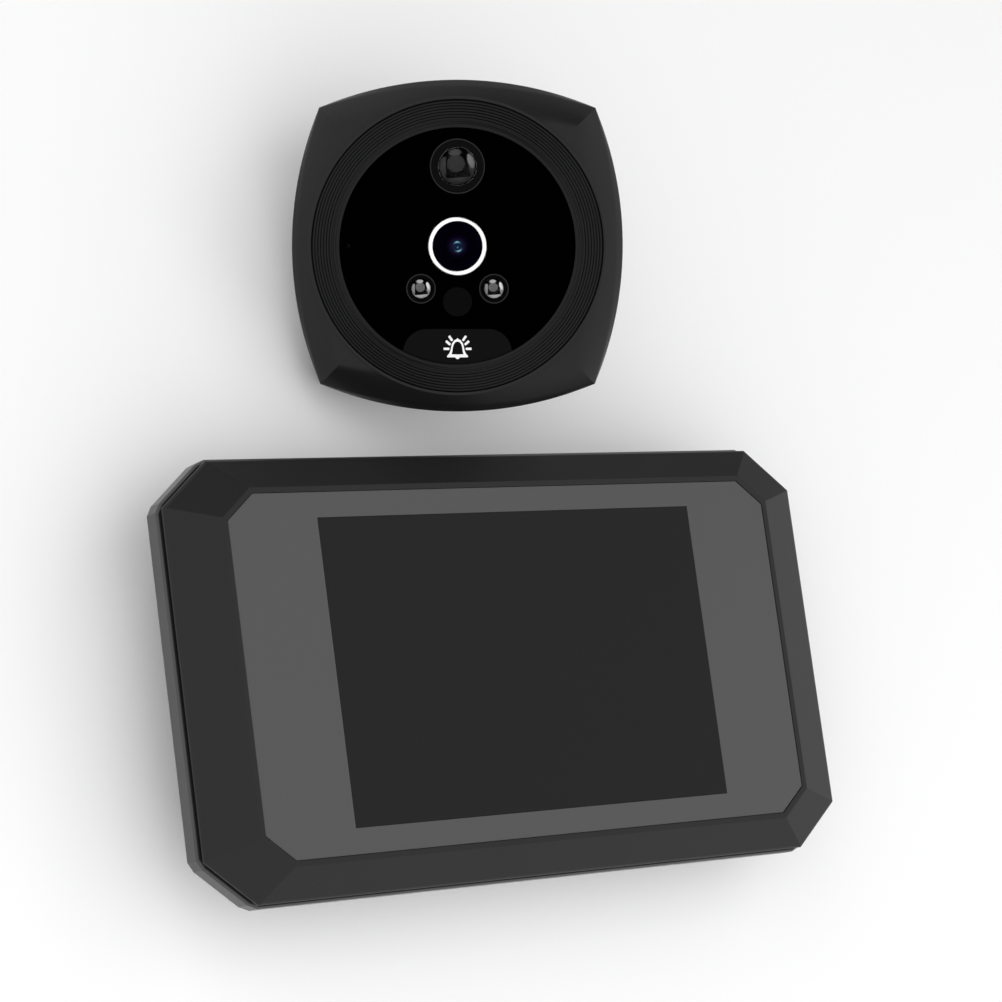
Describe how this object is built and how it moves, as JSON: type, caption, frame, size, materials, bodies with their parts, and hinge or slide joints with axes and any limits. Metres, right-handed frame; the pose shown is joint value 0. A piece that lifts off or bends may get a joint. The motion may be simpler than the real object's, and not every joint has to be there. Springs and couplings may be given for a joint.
{
  "type": "peephole door camera",
  "caption": "Digital door viewer: a faceted eight-sided indoor screen unit with wall bracket and a rounded square outdoor camera head with bell button and threaded stem.",
  "frame": {"origin": "centre of the wall bracket's back face, on the table the kit lies on", "axes": "+X along the screen's long side towards its right end, +Y towards the screen's top edge, +Z out of the screen"},
  "size_m": [0.1254, 0.1314, 0.0423],
  "materials": {
    "case_black": "satin black injection-moulded plastic",
    "head_black": "satin black coated housing with a fine texture",
    "ring_black": "satin black, finely grooved",
    "shell_grey": "smooth dark grey moulded plastic",
    "panel_grey": "flat even grey printed front plate",
    "screen_dark": "dark display window, smooth",
    "window_black": "high gloss black window",
    "button_grey": "matt dark grey key",
    "silver_ring": "bright silver ring",
    "lens_black": "anodised black lens barrel",
    "clear_glass": "coated lens glass",
    "clear_dome": "clear moulded dome",
    "lamp_clear": "clear infrared lamp",
    "collar_dark": "dark collar with a bright edge",
    "sensor_grey": "dark grey translucent window",
    "board_green": "solder-masked circuit board",
    "chip_black": "moulded chip packages",
    "socket_cream": "nylon connector housing",
    "steel": "zinc-plated sheet steel",
    "screw_steel": "plated screws",
    "spring_steel": "nickel-plated contacts",
    "stem_brass": "nickel-plated brass thread",
    "foam": "closed-cell foam",
    "cell_wrap": "plain wrapped dry cells",
    "lcd_metal": "display module with metal back",
    "switch_black": "switch body",
    "sensor_can": "metal sensor can"
  },
  "bodies": {
    "monitor": {"monitor_bezel": "case_black", "front_panel": "panel_grey", "screen_glass": "screen_dark", "lcd_gasket": "foam", "lcd_module": "lcd_metal", "lcd_frame": "case_black", "rear_shell": "shell_grey", "main_board": "board_green", "board_chips": "chip_black", "board_screws": "screw_steel", "ribbon_socket": "socket_cream", "speaker": "switch_black", "battery_cells": "cell_wrap", "battery_plates": "spring_steel", "battery_springs": "spring_steel", "case_screws": "screw_steel", "view_switch": "switch_black"},
    "bracket": {"wall_bracket": "steel"},
    "battery_cover": {"battery_door": "shell_grey"},
    "view_key": {"view_button": "button_grey", "view_plunger": "chip_black"},
    "camera_head": {"head_bezel": "head_black", "grooved_ring": "ring_black", "front_window": "window_black", "head_back_plate": "case_black", "foam_gasket": "foam", "head_screws": "screw_steel", "threaded_stem": "stem_brass", "bell_switch": "switch_black", "lens_ring": "silver_ring", "lens_barrel": "lens_black", "lens_glass": "clear_glass", "camera_module": "lens_black", "motion_ring": "collar_dark", "motion_dome": "clear_dome", "motion_sensor": "sensor_can", "lamp_collars": "collar_dark", "infrared_lamps": "lamp_clear", "light_window": "sensor_grey", "light_sensor": "chip_black", "microphone": "sensor_can", "head_board": "board_green", "head_ribbon_socket": "socket_cream"},
    "bell_key": {"bell_button": "button_grey", "bell_plunger": "chip_black"}
  },
  "joints": [
    {"name": "bracket_slide", "type": "slide", "parent": "monitor", "child": "bracket", "axis": [0, -1, 0], "range_m": [0, 0.0055]},
    {"name": "battery_door_slide", "type": "slide", "parent": "monitor", "child": "battery_cover", "axis": [0, -1, 0], "range_m": [0, 0.008]},
    {"name": "view_button_press", "type": "slide", "parent": "monitor", "child": "view_key", "axis": [-1, 0, 0], "range_m": [0, 0.0006], "stiffness_N_per_m": 900, "springref_m": -0.0006},
    {"name": "camera_head_lift", "type": "slide", "parent": "monitor", "child": "camera_head", "axis": [0, 0, 1], "range_m": [0, 0.06]},
    {"name": "bell_button_press", "type": "slide", "parent": "camera_head", "child": "bell_key", "axis": [0.5612, 0.2233, -0.797], "range_m": [0, 0.0007], "stiffness_N_per_m": 800, "springref_m": -0.0006}
  ]
}
